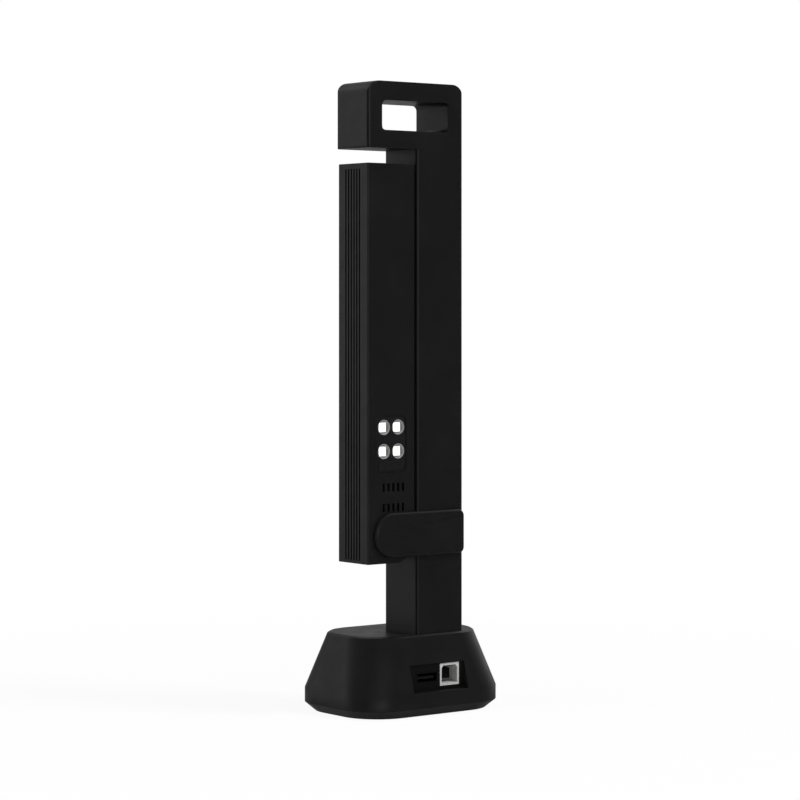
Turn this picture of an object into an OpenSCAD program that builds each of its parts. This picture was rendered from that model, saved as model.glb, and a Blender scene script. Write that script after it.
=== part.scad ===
// Overhead document scanner, folded: a weighted base with two sockets, an upright with a
// carrying handle at its head, and a ribbed lamp arm that swings out on a round-ended hinge plate.
// X runs along the lamp face, -Y is the side with the lamps and sockets, Z is up.
// The origin is on the desk, under the middle of the base.

/* [Base] */
// Width of the base along X at its widest
base_w = 90; // [86:1:110]
// Depth of the base along Y at its widest
base_d = 65.5; // [62:0.5:90]
// Height of the base's flat top above the desk
base_h = 39; // [37:1:50]
// Height above the desk where the upright band ends and the slope starts
base_band_h = 11.2; // [9:0.1:11.6]
// Distance that the slope draws each side in
base_inset = 8.2; // [6:0.1:9.5]
// Plan radius of the base's corners at the band
base_corner_r = 20; // [18:0.5:23]
// Bevel along the base's lower edge
base_foot_bevel = 3.7; // [1:0.1:4]
// Bevel along the edge of the flat top
base_top_bevel = 0.8; // [0.4:0.1:1.2]
// Least wall of the base's shell
base_wall = 2.4; // [2:0.1:3]
// Thickness of the plate that closes the base from below
base_plate_t = 2; // [1.8:0.1:3]
// Rim of the shell left round the closing plate
base_plate_rim = 2; // [1.5:0.1:4]
// Radius of one rubber foot
foot_r = 4.5; // [3:0.5:5]
// Height that the feet lift the base off the desk
foot_h = 0.5; // [0.4:0.1:2]
// Thickness of the steel weight in the base
ballast_t = 12; // [6:1:14]

/* [Sockets] */
// Length of the recess that holds the sockets
recess_w = 34; // [33.2:0.1:34.7]
// Height of the recess
recess_h = 13.2; // [13:0.1:14]
// Height of the recess's floor above the desk
recess_z = 11.8; // [11.7:0.1:12.6]
// X of the recess's middle
recess_x = 0.3; // [-0.95:0.05:1.05]
// Depth of the recess at its upper edge
recess_lip = 0.6; // [0.4:0.1:1.5]
// Width of the square socket's metal shell
square_socket_w = 12; // [11.8:0.1:12.2]
// Height of the square socket's metal shell
square_socket_h = 11; // [10.8:0.1:11.2]
// Distance from the recess's middle to the square socket's middle
square_socket_offset = 8.4; // [8.05:0.05:8.85]
// Height of the square socket's middle above the recess's middle
square_socket_rise = 0.7; // [0:0.1:0.7]
// Width of the flat socket's metal shell
flat_socket_w = 13.2; // [13:0.1:13.4]
// Height of the flat socket's metal shell
flat_socket_h = 5.8; // [5.6:0.1:6]
// Distance from the recess's middle to the flat socket's middle
flat_socket_offset = -5.6; // [-6.15:0.05:-5.35]
// Length of each socket
socket_depth = 14; // [12:0.5:16]
// Thickness of a socket's sheet metal
socket_sheet = 0.4; // [0.3:0.05:0.6]

/* [Upright] */
// Height of the whole scanner
total_h = 309.5; // [295:0.5:340]
// Width of the upright along X
column_w = 29.2; // [28:0.2:31]
// Depth of the upright and the handle along Y
column_d = 26.2; // [25.4:0.2:30]
// X of the upright's outer face
column_right = 21.2; // [20:0.2:22.4]
// Set-back of the upright from the front edge of the base's flat top
column_setback = 1.2; // [1:0.1:4]
// Wall of the hollow upright
column_wall = 3; // [2.5:0.1:4]
// Thickness of the cover on the upright's lamp side
column_cover_t = 2.4; // [2.2:0.1:3.5]
// Rounding of the upright's long edges
column_edge_r = 1.8; // [0.8:0.1:2.2]
// Depth of the shadow line round the cover behind its lamp face
shadow_line_at = 0.6; // [0.5:0.05:0.9]
// Width of that shadow line
shadow_line_w = 0.4; // [0.3:0.05:0.6]
// Reach of that shadow line in from the upright's outline
shadow_line_reach = 0.9; // [0.6:0.05:1.2]

/* [Handle] */
// Length of the handle along X
handle_w = 59; // [57:0.2:66]
// Height of the handle block
handle_h = 32.6; // [31:0.2:36]
// Rounding of the handle's two upper corners
handle_corner_r = 6.8; // [4:0.1:7.2]
// Rounding of the handle's lower corner above the arm
handle_nose_r = 1.5; // [0.5:0.1:2.5]
// Material between the grip opening and the handle's free end
grip_end_wall = 8.4; // [6:0.2:9]
// Material between the grip opening and the upright's outer face
grip_outer_wall = 9; // [5:0.1:10]
// Height of the bar above the grip opening
grip_bar_h = 9.3; // [8:0.1:10.5]
// Height of the grip opening
grip_h = 14.5; // [13:0.1:16]
// Rounding of the grip opening's corners
grip_corner_r = 2.7; // [1:0.1:5]

/* [Arm] */
// Width of the arm along X
arm_w = 28.8; // [28:0.1:31]
// Depth of the arm along Y
arm_d = 24.2; // [23.4:0.1:25.4]
// Gap between the arm and the upright
arm_gap = 1; // [0.6:0.1:1.5]
// Depth by which the arm's lamp face lies behind the upright's
arm_recess = 0.3; // [0.2:0.05:0.6]
// Finger gap between the arm's end and the handle
finger_gap = 7.4; // [6:0.1:14]
// Height of the hinge axis above the desk
hinge_z = 88.55; // [85:0.05:100]
// Distance from the hinge axis down to the arm's lower end
arm_tail = 13.65; // [12.8:0.05:14]
// Thickness of the arm's lamp-side cover
arm_cover_t = 2; // [1.6:0.1:2.4]
// Strip of the arm's body that shows beside its cover
arm_strip = 2.1; // [1.6:0.1:2.4]
// Thickness of the cap on the arm's end
arm_cap_t = 2.7; // [2:0.1:5]
// Wall of the hollow arm
arm_wall = 2.6; // [2.4:0.1:3]
// Rounding of the arm's long edges
arm_edge_r = 0.8; // [0.3:0.1:1.4]
// Number of grooves along the arm's outer side
groove_count = 6; // [4:1:7]
// Distance from one groove to the next
groove_pitch = 2.2; // [1.8:0.1:2.4]
// Width of a groove
groove_w = 1; // [0.6:0.1:1.2]
// Depth of a groove
groove_depth = 1; // [0.6:0.1:1.4]
// Distance of the first groove's middle from the arm's lamp face
groove_start = 6.9; // [5.6:0.1:7.2]
// Plain stretch below the grooves
groove_foot = 1.5; // [1:0.1:4]

/* [Lamps] */
// Width of the lamp panel
panel_w = 18.1; // [17.6:0.1:19]
// Height of the lamp panel
panel_h = 27.6; // [27:0.2:32]
// Height of the lamp panel's middle above the hinge axis
panel_rise = 44.35; // [42:0.05:60]
// Rounding of the lamp panel's corners
panel_corner_r = 3.5; // [1:0.5:4]
// Depth of the lamp panel's floor behind the lamp face
panel_sink = 0.4; // [0.3:0.1:1]
// Radius of one lamp's reflector
lamp_r = 3.7; // [3.7:0.1:4]
// Distance between the lamps along X
lamp_pitch_x = 8.7; // [8.4:0.1:9.2]
// Distance between the lamps along Z
lamp_pitch_z = 11.7; // [9:0.1:12]
// Height of the lamps' middle above the panel's middle
lamp_rise = 2.35; // [2.2:0.05:3]
// Rim between a reflector's edge and its flat floor
bowl_rim = 0.5; // [0.4:0.05:0.55]
// Depth of a reflector's floor
bowl_depth = 1.6; // [1:0.1:1.8]
// Width of one lamp's emitter
emitter_w = 4.2; // [2.4:0.2:4.2]
// Height of one lamp's emitter
emitter_h = 4.6; // [2.4:0.2:4.6]
// Height of the camera's window
window_h = 4.8; // [4:0.2:5.2]
// Number of sound slots in a row
slot_count = 5; // [3:1:6]
// Distance from one sound slot to the next
slot_pitch = 2.95; // [2.5:0.05:3]
// Width of a sound slot
slot_w = 1.3; // [0.8:0.1:1.5]
// Height of a sound slot
slot_h = 4; // [3:0.1:4.4]
// Distance from one row of sound slots to the other
slot_row_pitch = 9.8; // [8:0.1:10]
// Height of the lower row's middle above the hinge axis
slot_rise = 13.45; // [13.35:0.05:14.2]
// Distance of the slots' middle from the arm's middle
slot_offset = 1.1; // [0:0.1:1.5]

/* [Hinge] */
// Height of the hinge plate, twice the radius of its round end
plate_h = 22.2; // [19:0.2:22.4]
// Thickness of the hinge plate, all of it proud of the upright
plate_t = 2.2; // [2:0.1:3]
// Rounding along the hinge plate's face
plate_edge_r = 1.8; // [0.8:0.1:2]
// Rounding of the hinge plate's two square corners
plate_corner_r = 3.5; // [1:0.5:4]
// Distance from the plate's square end to the upright's outer face
plate_end_gap = 0.9; // [0.4:0.1:2]
// Radius of the hinge pin's shank
hinge_pin_r = 4; // [3:0.1:4.5]
// Radius of the hinge pin's flange, let into the plate
hinge_flange_r = 7; // [6:0.1:8]
// Thickness of the hinge pin's flange
hinge_flange_t = 1; // [0.8:0.1:1.2]
// Radius of the pocket for the hinge nut
nut_pocket_r = 8.4; // [8.2:0.1:9]
// Depth of the pocket for the hinge nut
nut_pocket_depth = 6; // [5.5:0.5:8]
// Thickness of the cap over the hinge nut
hinge_cap_t = 1.4; // [1:0.1:1.6]

/* [Fasteners] */
// Radius of a screw's shank
screw_r = 1.4; // [1:0.1:1.6]
// Radius of a screw's head
screw_head_r = 2.6; // [2.2:0.1:2.8]
// Height of a screw's head
screw_head_h = 1.6; // [1:0.1:1.7]
// Radius of a boss that takes a screw
boss_r = 3.4; // [3.2:0.1:4]
// Depth to which a screw bites into the piece that it holds
screw_bite = 1; // [0.8:0.1:1.2]

/* [Clearances] */
// Gap between a piece and the seat that it drops into
seat_gap = 0.1; // [0.05:0.01:0.2]
// Running clearance of the hinge
pin_clearance = 0.05; // [0.02:0.01:0.1]

/* [Hidden] */
$fn = 64;

// Overshoot of a cut past the face that it opens
cut = 1;
// A width greater than any piece's
beyond = base_w + handle_w + arm_w;
// Faces along Y
upright_front = -base_d / 2 + base_inset + column_setback;
upright_back = upright_front + column_d;
cover_seam = upright_front + column_cover_t;
arm_front = upright_front + arm_recess;
arm_back = arm_front + arm_d;
arm_seam = arm_front + arm_cover_t;
plate_face = upright_front - plate_t;
// Faces along X
column_left = column_right - column_w;
column_mid = column_right - column_w / 2;
handle_left = column_right - handle_w;
arm_right = column_left - arm_gap;
arm_left = arm_right - arm_w;
arm_mid = arm_right - arm_w / 2;
plate_right = column_right - plate_end_gap;
// Faces along Z
handle_z = total_h - handle_h;
arm_low = hinge_z - arm_tail;
arm_top = handle_z - finger_gap;
arm_cap_z = arm_top - arm_cap_t;
plate_low = hinge_z - plate_h / 2;
plate_high = hinge_z + plate_h / 2;
// Inside of the base
cavity_w = base_w - 2 * (base_inset + base_wall);
cavity_d = base_d - 2 * (base_inset + base_wall);
cavity_corner_r = base_corner_r - base_wall;
base_floor = foot_h + base_plate_t;
base_ceiling = base_h - base_wall;
// The plate that closes the base, its feet and its screws
closing_w = base_w - 2 * (base_foot_bevel + base_plate_rim);
closing_d = base_d - 2 * (base_foot_bevel + base_plate_rim);
closing_r = base_corner_r - base_plate_rim;
foot_rim = 1.5;
foot_reach = (closing_r - foot_r - foot_rim) * sqrt(0.5);
foot_x = closing_w / 2 - closing_r + foot_reach;
foot_y = closing_d / 2 - closing_r + foot_reach;
closing_screw_rim = 0.6;
closing_screw_x = closing_w / 2 - screw_head_r - closing_screw_rim;
closing_screw_y = closing_d / 2 - closing_r - screw_head_r;
closing_screw_l = 6;
// Slope of the base's sides, as the inset for each unit of height
base_slope = base_inset / (base_h - base_band_h);
// The base's outline at five heights, each as its inset and its height, with round corners in steps
base_corner_steps = 16;
base_levels = [
    [base_foot_bevel, foot_h],
    [0, foot_h + base_foot_bevel],
    [0, base_band_h],
    [base_inset - base_top_bevel * base_slope, base_h - base_top_bevel],
    [base_inset + base_top_bevel, base_h]
];
// The sockets stand in a recess whose back wall is upright
recess_back = -base_d / 2 + (recess_z + recess_h - base_band_h) * base_slope + recess_lip;
recess_mid = recess_z + recess_h / 2;
square_socket_x = recess_x + square_socket_offset;
square_socket_z = recess_mid + square_socket_rise;
flat_socket_x = recess_x + flat_socket_offset;
flat_socket_z = recess_mid;
// Plug openings of the two standard sockets, and their tongues
square_opening_w = 9.8;
square_opening_h = 8.6;
square_opening_bevel = 1.2;
square_tongue_w = 5.6;
square_tongue_h = 5;
square_tongue_set_back = 3.6;
flat_opening_w = 11.8;
flat_opening_h = 4;
flat_tongue_w = 10.2;
flat_tongue_h = 1.4;
flat_tongue_set_back = 1.2;
// The board lies under the square socket, the taller of the two
board_t = 1.6;
board_top = square_socket_z - square_socket_h / 2;
board_w = 34;
board_d = 17;
board_front = -cavity_d / 2 + seat_gap;
board_post_r = 2.2;
board_post_inset = 3;
ballast_board_gap = 2;
ballast_front = board_front + board_d + ballast_board_gap;
ballast_gap = 0.3;
// The upright is solid at its foot and behind the hinge plate
column_foot_h = 8;
column_floor = base_h + column_foot_h;
bolt_reach = 5;
block_margin = 4;
hinge_block_low = plate_low - block_margin;
hinge_block_high = plate_high + block_margin;
column_ceiling = handle_z - block_margin;
cover_screw_margin = 20;
cover_screw_z = [(column_floor + hinge_block_low) / 2, (hinge_block_high + column_ceiling) / 2,
                 column_ceiling - cover_screw_margin];
hinge_screw_x = [column_mid - column_w / 4, column_mid + column_w / 4];
// The hinge's stack in its pocket
pocket_floor = arm_back - nut_pocket_depth;
spring_washer_t = 1.2;
spring_washer_rim = 2.6;
nut_t = 2.4;
nut_rim = 3.2;
fixed_fit = 0.01;
// Inside of the arm, which is solid round the hinge
nut_pocket_wall = 1.4;
arm_floor = hinge_z + nut_pocket_r + nut_pocket_wall;
arm_inner_left = arm_left + groove_depth + arm_wall;
arm_inner_right = arm_right - arm_wall;
arm_inner_back = arm_back - arm_wall;
// The lamp panel and what it holds
panel_z = hinge_z + panel_rise;
panel_face = arm_front + panel_sink;
panel_flange = 1;
panel_back = arm_seam + panel_flange;
lamp_z = panel_z + lamp_rise;
emitter_t = 0.3;
lamp_board_t = 1.2;
window_rim = 1;
window_side_rim = 1.5;
window_w = panel_w - 2 * window_side_rim;
window_z = panel_z - panel_h / 2 + window_rim + window_h / 2;
window_t = 1;
window_sink = 0.2;
window_face = arm_front + window_sink;
lens_rim = 0.4;
lens_r = window_h / 2 - lens_rim;
// The speaker behind the slots
slot_z = hinge_z + slot_rise;
speaker_t = 4;
speaker_rim = 0.5;
// The arm's circuit board and the screws of its cover
arm_board_t = 1.6;
arm_board_post_h = 3;
arm_board_post_inset = 6;
arm_board_edge_gap = 2;
arm_board_mid = (arm_inner_left + arm_inner_right) / 2;
arm_board_w = arm_inner_right - arm_inner_left - 2 * arm_board_edge_gap;
arm_screw_margin = 8;
arm_screw_z = [panel_z + panel_h / 2 + arm_screw_margin, arm_cap_z - arm_screw_margin];
arm_screw_x = [arm_inner_left + boss_r / 2, arm_inner_right - boss_r / 2];
arm_board_low = arm_screw_z[0] + boss_r + arm_board_edge_gap;
arm_board_high = arm_screw_z[1] - boss_r - arm_board_edge_gap;

// Plan of a rectangle with round corners
module round_rect(w, d, r) {
    square([w - 2 * r, d], center = true);
    square([w, d - 2 * r], center = true);
    for (sx = [-1, 1], sy = [-1, 1])
        translate([sx * (w / 2 - r), sy * (d / 2 - r)])
            circle(r);
}

// Extrudes a drawing of X and Z along Y, from one depth to another
module along_y(from, to) {
    translate([0, to, 0])
        rotate([90, 0, 0])
            linear_extrude(to - from)
                children();
}

// A round bar along Y
module rod_y(x, z, r, from, to) {
    translate([x, from, z])
        rotate([-90, 0, 0])
            cylinder(r = r, h = to - from);
}

// A screw along Y whose head lies in the face at its far end
module screw_y(x, z, from, head_face) {
    rod_y(x, z, screw_r, from, head_face - screw_head_h / 2);
    rod_y(x, z, screw_head_r, head_face - screw_head_h, head_face);
}

// The hole for such a screw
module screw_hole_y(x, z, from, head_face) {
    rod_y(x, z, screw_r + seat_gap, from, head_face);
    rod_y(x, z, screw_head_r + seat_gap, head_face - screw_head_h, head_face + cut);
}

// The blind hole that the end of such a screw bites into
module screw_bite_y(x, z, face) {
    rod_y(x, z, screw_r + seat_gap, face - screw_bite - seat_gap, face + cut);
}

// Keeps what lies between two depths and two heights
module kept(from, to, low, high) {
    intersection() {
        children();
        translate([-beyond / 2, from, low])
            cube([beyond, to - from, high - low]);
    }
}

// The base's outline at one height, whose corners keep their radius however far it is drawn in
function base_ring(inset, z) = [
    for (turn = [0 : 3], step = [0 : base_corner_steps])
        let (
            angle = 90 * (turn + step / base_corner_steps),
            sx = (turn == 0 || turn == 3) ? 1 : -1,
            sy = (turn < 2) ? 1 : -1
        )
            [sx * (base_w / 2 - inset - base_corner_r) + base_corner_r * cos(angle),
             sy * (base_d / 2 - inset - base_corner_r) + base_corner_r * sin(angle), z]
];

// The base's outer form, skinned over its outlines
module base_form() {
    count = 4 * (base_corner_steps + 1);
    last = len(base_levels) - 1;
    floor_face = [for (i = [0 : count - 1]) i];
    top_face = [for (i = [count - 1 : -1 : 0]) last * count + i];
    side_faces = [
        for (level = [0 : last - 1], i = [0 : count - 1])
            let (low = level * count, next = (i + 1) % count)
                [low + i, low + count + i, low + count + next, low + next]
    ];
    polyhedron(points = [for (level = base_levels) each base_ring(level[0], level[1])],
               faces = concat([floor_face, top_face], side_faces));
}

// Places of the posts that carry the socket board
module at_board_posts() {
    for (sx = [-1, 1], end = [0, 1])
        translate([sx * (board_w / 2 - board_post_inset),
                   board_front + board_post_inset + end * (board_d - 2 * board_post_inset), 0])
            children();
}

// Places of the screws that hold the closing plate
module at_closing_screws() {
    for (sx = [-1, 1], sy = [-1, 1])
        translate([sx * closing_screw_x, sy * closing_screw_y, 0])
            children();
}

// Places of the bolts that hold the upright on the base
module at_upright_bolts() {
    for (side = [-1, 1])
        translate([column_mid + side * column_w / 4, (cover_seam + upright_back) / 2, 0])
            children();
}

// The space for a socket, from the recess through to the base's inside
module socket_way(x, z, w, h) {
    translate([x - w / 2 - seat_gap, recess_back - cut, z - h / 2 - seat_gap])
        cube([w + 2 * seat_gap, socket_depth + cut, h + 2 * seat_gap]);
}

module base_shell() {
    color([0.10, 0.10, 0.105])
        difference() {
            base_form();
            translate([0, 0, foot_h - cut])
                linear_extrude(base_plate_t + cut)
                    round_rect(closing_w + 2 * seat_gap, closing_d + 2 * seat_gap, closing_r + seat_gap);
            translate([0, 0, base_floor - cut])
                linear_extrude(base_ceiling - base_floor + cut)
                    round_rect(cavity_w, cavity_d, cavity_corner_r);
            translate([recess_x - recess_w / 2, -base_d / 2 - cut, recess_z])
                cube([recess_w, recess_back + base_d / 2 + cut, recess_h]);
            socket_way(square_socket_x, square_socket_z, square_socket_w, square_socket_h);
            socket_way(flat_socket_x, flat_socket_z, flat_socket_w, flat_socket_h);
            at_upright_bolts()
                translate([0, 0, base_ceiling - cut])
                    cylinder(r = screw_r + seat_gap, h = base_wall + 2 * cut);
            at_closing_screws()
                translate([0, 0, base_floor - cut])
                    cylinder(r = screw_r + seat_gap, h = closing_screw_l + 2 * cut);
        }
}

module base_plate() {
    color([0.07, 0.07, 0.07])
        difference() {
            union() {
                translate([0, 0, foot_h])
                    linear_extrude(base_plate_t)
                        round_rect(closing_w, closing_d, closing_r);
                at_board_posts()
                    translate([0, 0, foot_h + base_plate_t / 2])
                        cylinder(r = board_post_r, h = board_top - board_t - foot_h - base_plate_t / 2);
            }
            at_closing_screws() {
                translate([0, 0, foot_h - cut])
                    cylinder(r = screw_r + seat_gap, h = base_plate_t + 2 * cut);
                translate([0, 0, foot_h - cut])
                    cylinder(r = screw_head_r + seat_gap, h = cut + screw_head_h);
            }
        }
}

module rubber_feet() {
    color([0.05, 0.05, 0.05])
        for (sx = [-1, 1], sy = [-1, 1])
            translate([sx * foot_x, sy * foot_y, 0])
                cylinder(r = foot_r, h = foot_h);
}

module base_screws() {
    color([0.55, 0.55, 0.57])
        at_closing_screws() {
            translate([0, 0, foot_h])
                cylinder(r = screw_head_r, h = screw_head_h);
            translate([0, 0, foot_h + screw_head_h / 2])
                cylinder(r = screw_r, h = base_plate_t + closing_screw_l - screw_head_h / 2);
        }
}

module ballast_weight() {
    color([0.45, 0.46, 0.48])
        translate([0, 0, base_floor])
            linear_extrude(ballast_t)
                intersection() {
                    round_rect(cavity_w - 2 * ballast_gap, cavity_d - 2 * ballast_gap,
                               cavity_corner_r - ballast_gap);
                    translate([-cavity_w / 2, ballast_front])
                        square([cavity_w, cavity_d]);
                }
}

module port_board() {
    color([0.05, 0.25, 0.12])
        translate([-board_w / 2, board_front, board_top - board_t])
            cube([board_w, board_d, board_t]);
}

// The square socket's plug opening, bevelled at its two upper corners
module square_opening() {
    w = square_opening_w / 2;
    h = square_opening_h / 2;
    polygon([[-w, -h], [w, -h], [w, h - square_opening_bevel], [w - square_opening_bevel, h],
             [square_opening_bevel - w, h], [-w, h - square_opening_bevel]]);
}

module square_socket() {
    color([0.75, 0.75, 0.74])
        difference() {
            translate([square_socket_x - square_socket_w / 2, recess_back, board_top])
                cube([square_socket_w, socket_depth, square_socket_h]);
            translate([square_socket_x, 0, square_socket_z])
                along_y(recess_back - cut, recess_back + socket_depth - socket_sheet)
                    square_opening();
        }
}

module square_socket_tongue() {
    color([0.06, 0.06, 0.06])
        translate([square_socket_x - square_tongue_w / 2, recess_back + square_tongue_set_back,
                   square_socket_z - square_tongue_h / 2])
            cube([square_tongue_w, socket_depth - socket_sheet - square_tongue_set_back,
                  square_tongue_h]);
}

module flat_socket() {
    color([0.30, 0.30, 0.31])
        difference() {
            translate([flat_socket_x - flat_socket_w / 2, recess_back, flat_socket_z - flat_socket_h / 2])
                cube([flat_socket_w, socket_depth, flat_socket_h]);
            translate([flat_socket_x - flat_opening_w / 2, recess_back - cut,
                       flat_socket_z - flat_opening_h / 2])
                cube([flat_opening_w, socket_depth - socket_sheet + cut, flat_opening_h]);
        }
}

module flat_socket_tongue() {
    color([0.06, 0.06, 0.06])
        translate([flat_socket_x - flat_tongue_w / 2, recess_back + flat_tongue_set_back,
                   flat_socket_z - flat_tongue_h / 2])
            cube([flat_tongue_w, socket_depth - socket_sheet - flat_tongue_set_back, flat_tongue_h]);
}

// The upright and its handle as one outline in X and Z, drawn in all round by an inset
module upright_outline(inset) {
    left = handle_left + inset;
    right = column_right - inset;
    low = handle_z + inset;
    top = total_h - inset;
    corner = handle_corner_r - inset;
    nose = handle_nose_r - inset;
    difference() {
        union() {
            translate([column_left + inset, base_h])
                square([column_w - 2 * inset, low - base_h + cut]);
            translate([left + nose, low])
                square([right - left - nose, nose]);
            translate([left, low + nose])
                square([right - left, top - low - nose - corner]);
            translate([left + corner, top - corner - cut])
                square([right - left - 2 * corner, corner + cut]);
            for (x = [left + corner, right - corner])
                translate([x, top - corner])
                    circle(corner);
            translate([left + nose, low + nose])
                circle(nose);
        }
        grip_outline(inset);
    }
}

// The opening that the fingers go through, widened all round by a margin
module grip_outline(margin) {
    grip_w = handle_w - grip_end_wall - grip_outer_wall;
    translate([handle_left + grip_end_wall + grip_w / 2, total_h - grip_bar_h - grip_h / 2])
        round_rect(grip_w + 2 * margin, grip_h + 2 * margin, grip_corner_r + margin);
}

// The whole upright with its long edges rounded, before it is split into body and cover
module upright_form() {
    depth_mid = upright_front + column_d / 2;
    intersection() {
        along_y(upright_front, upright_back)
            upright_outline(0);
        union() {
            translate([column_mid, depth_mid, base_h])
                linear_extrude(total_h - base_h)
                    round_rect(column_w, column_d, column_edge_r);
            translate([handle_left + handle_w / 2, depth_mid, handle_z])
                linear_extrude(handle_h)
                    round_rect(handle_w, column_d, column_edge_r);
        }
    }
}

// One of the upright's two hollows, open towards its cover
module upright_hollow(low, high) {
    translate([column_left + column_wall, cover_seam - cut, low])
        cube([column_w - 2 * column_wall, column_d - column_cover_t - column_wall + cut, high - low]);
}

module upright_body() {
    color([0.10, 0.10, 0.105])
        difference() {
            union() {
                difference() {
                    kept(cover_seam, upright_back, base_h, total_h)
                        upright_form();
                    upright_hollow(column_floor, hinge_block_low);
                    upright_hollow(hinge_block_high, column_ceiling);
                }
                for (z = cover_screw_z)
                    rod_y(column_mid, z, boss_r, cover_seam, upright_back - column_wall / 2);
            }
            for (z = cover_screw_z)
                screw_hole_y(column_mid, z, cover_seam - cut, upright_back);
            for (x = hinge_screw_x)
                screw_hole_y(x, hinge_z, cover_seam - cut, upright_back);
            at_upright_bolts()
                translate([0, 0, base_h - cut])
                    cylinder(r = screw_r + seat_gap, h = bolt_reach + 2 * cut);
        }
}

module upright_bolts() {
    color([0.55, 0.55, 0.57])
        at_upright_bolts() {
            translate([0, 0, base_ceiling - screw_head_h])
                cylinder(r = screw_head_r, h = screw_head_h);
            translate([0, 0, base_ceiling - screw_head_h / 2])
                cylinder(r = screw_r, h = base_wall + bolt_reach + screw_head_h / 2);
        }
}

// The shadow line that runs round the cover, and round the grip opening in it
module shadow_line() {
    line_front = upright_front + shadow_line_at;
    along_y(line_front, line_front + shadow_line_w)
        difference() {
            translate([-beyond / 2, base_h])
                square([beyond, total_h]);
            upright_outline(shadow_line_reach);
        }
}

module upright_cover() {
    color([0.085, 0.085, 0.09])
        difference() {
            kept(upright_front, cover_seam, base_h, total_h)
                upright_form();
            shadow_line();
            for (z = cover_screw_z)
                screw_bite_y(column_mid, z, cover_seam);
            for (x = hinge_screw_x)
                rod_y(x, hinge_z, screw_r + seat_gap, upright_front - cut, cover_seam + cut);
        }
}

module cover_screws() {
    color([0.55, 0.55, 0.57])
        for (z = cover_screw_z)
            screw_y(column_mid, z, cover_seam - screw_bite, upright_back);
}

// One side of the hinge plate's section, from its middle line to its rounded edge
module plate_side() {
    square([plate_h / 2, plate_t - plate_edge_r]);
    square([plate_h / 2 - plate_edge_r, plate_t]);
    translate([plate_h / 2 - plate_edge_r, plate_t - plate_edge_r])
        circle(plate_edge_r);
}

// The half of that section that lies on the far side of its middle line
module plate_half_section() {
    intersection() {
        plate_side();
        square([plate_h, plate_t]);
    }
}

// The hinge plate's form: a half turn of its section, and a straight run of it to the upright's face
module plate_form() {
    translate([arm_mid, upright_front, hinge_z])
        rotate([90, 0, 0]) {
            rotate([0, 0, 90])
                rotate_extrude(angle = 180)
                    plate_half_section();
            rotate([90, 0, 90])
                linear_extrude(plate_right - arm_mid) {
                    plate_half_section();
                    mirror([1, 0])
                        plate_half_section();
                }
        }
}

// The hinge plate seen from its face, with small corners at its square end
module plate_outline() {
    span = plate_right - arm_mid;
    translate([arm_mid - plate_h, plate_low])
        square([plate_h + span - plate_corner_r, plate_h]);
    translate([arm_mid, plate_low + plate_corner_r])
        square([span, plate_h - 2 * plate_corner_r]);
    for (z = [plate_low + plate_corner_r, plate_high - plate_corner_r])
        translate([plate_right - plate_corner_r, z])
            circle(plate_corner_r);
}

module hinge_plate() {
    color([0.10, 0.10, 0.105])
        difference() {
            intersection() {
                plate_form();
                along_y(plate_face - cut, upright_front)
                    plate_outline();
            }
            rod_y(arm_mid, hinge_z, hinge_flange_r + fixed_fit, upright_front - hinge_flange_t,
                  upright_front + cut);
            for (x = hinge_screw_x)
                screw_bite_y(x, hinge_z, upright_front);
        }
}

module hinge_screws() {
    color([0.55, 0.55, 0.57])
        for (x = hinge_screw_x)
            screw_y(x, hinge_z, upright_front - screw_bite, upright_back);
}

module hinge_pin() {
    color([0.60, 0.60, 0.62]) {
        rod_y(arm_mid, hinge_z, hinge_flange_r, upright_front - hinge_flange_t, upright_front);
        rod_y(arm_mid, hinge_z, hinge_pin_r, upright_front - hinge_flange_t / 2,
              pocket_floor + spring_washer_t + nut_t);
    }
}

// A ring about the hinge pin
module hinge_ring(rim, from, to) {
    difference() {
        rod_y(arm_mid, hinge_z, hinge_pin_r + rim, from, to);
        rod_y(arm_mid, hinge_z, hinge_pin_r + fixed_fit, from - cut, to + cut);
    }
}

module friction_washer() {
    color([0.78, 0.76, 0.70])
        hinge_ring(hinge_flange_r - hinge_pin_r, upright_front, arm_front - pin_clearance);
}

module spring_washer() {
    color([0.60, 0.60, 0.62])
        hinge_ring(spring_washer_rim, pocket_floor + pin_clearance, pocket_floor + spring_washer_t);
}

module hinge_nut() {
    color([0.60, 0.60, 0.62])
        difference() {
            translate([arm_mid, pocket_floor + spring_washer_t, hinge_z])
                rotate([-90, 0, 0])
                    cylinder(r = hinge_pin_r + nut_rim, h = nut_t, $fn = 6);
            rod_y(arm_mid, hinge_z, hinge_pin_r + fixed_fit, pocket_floor, arm_back);
        }
}

// The arm's outline in X and Z: square at its outer lower corner, and round about the hinge
// beside the upright so that it can swing
module arm_outline() {
    translate([arm_left, arm_low])
        square([arm_w / 2, arm_top - arm_low]);
    translate([arm_left, hinge_z])
        square([arm_w, arm_top - hinge_z]);
    intersection() {
        translate([arm_mid, hinge_z])
            circle(arm_w / 2);
        translate([arm_left, arm_low])
            square([arm_w, arm_w]);
    }
}

// The whole arm with its long edges rounded, before it is split into body, cover and end cap
module arm_form() {
    intersection() {
        along_y(arm_front, arm_back)
            arm_outline();
        translate([arm_mid, (arm_front + arm_back) / 2, arm_low])
            linear_extrude(arm_top - arm_low)
                round_rect(arm_w, arm_d, arm_edge_r);
    }
}

// The space on the outer side of the arm's cover
module beside_cover(gap) {
    translate([arm_left - cut, arm_front - cut, arm_low - cut])
        cube([arm_strip + gap + cut, arm_d + 2 * cut, arm_top - arm_low + 2 * cut]);
}

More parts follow.
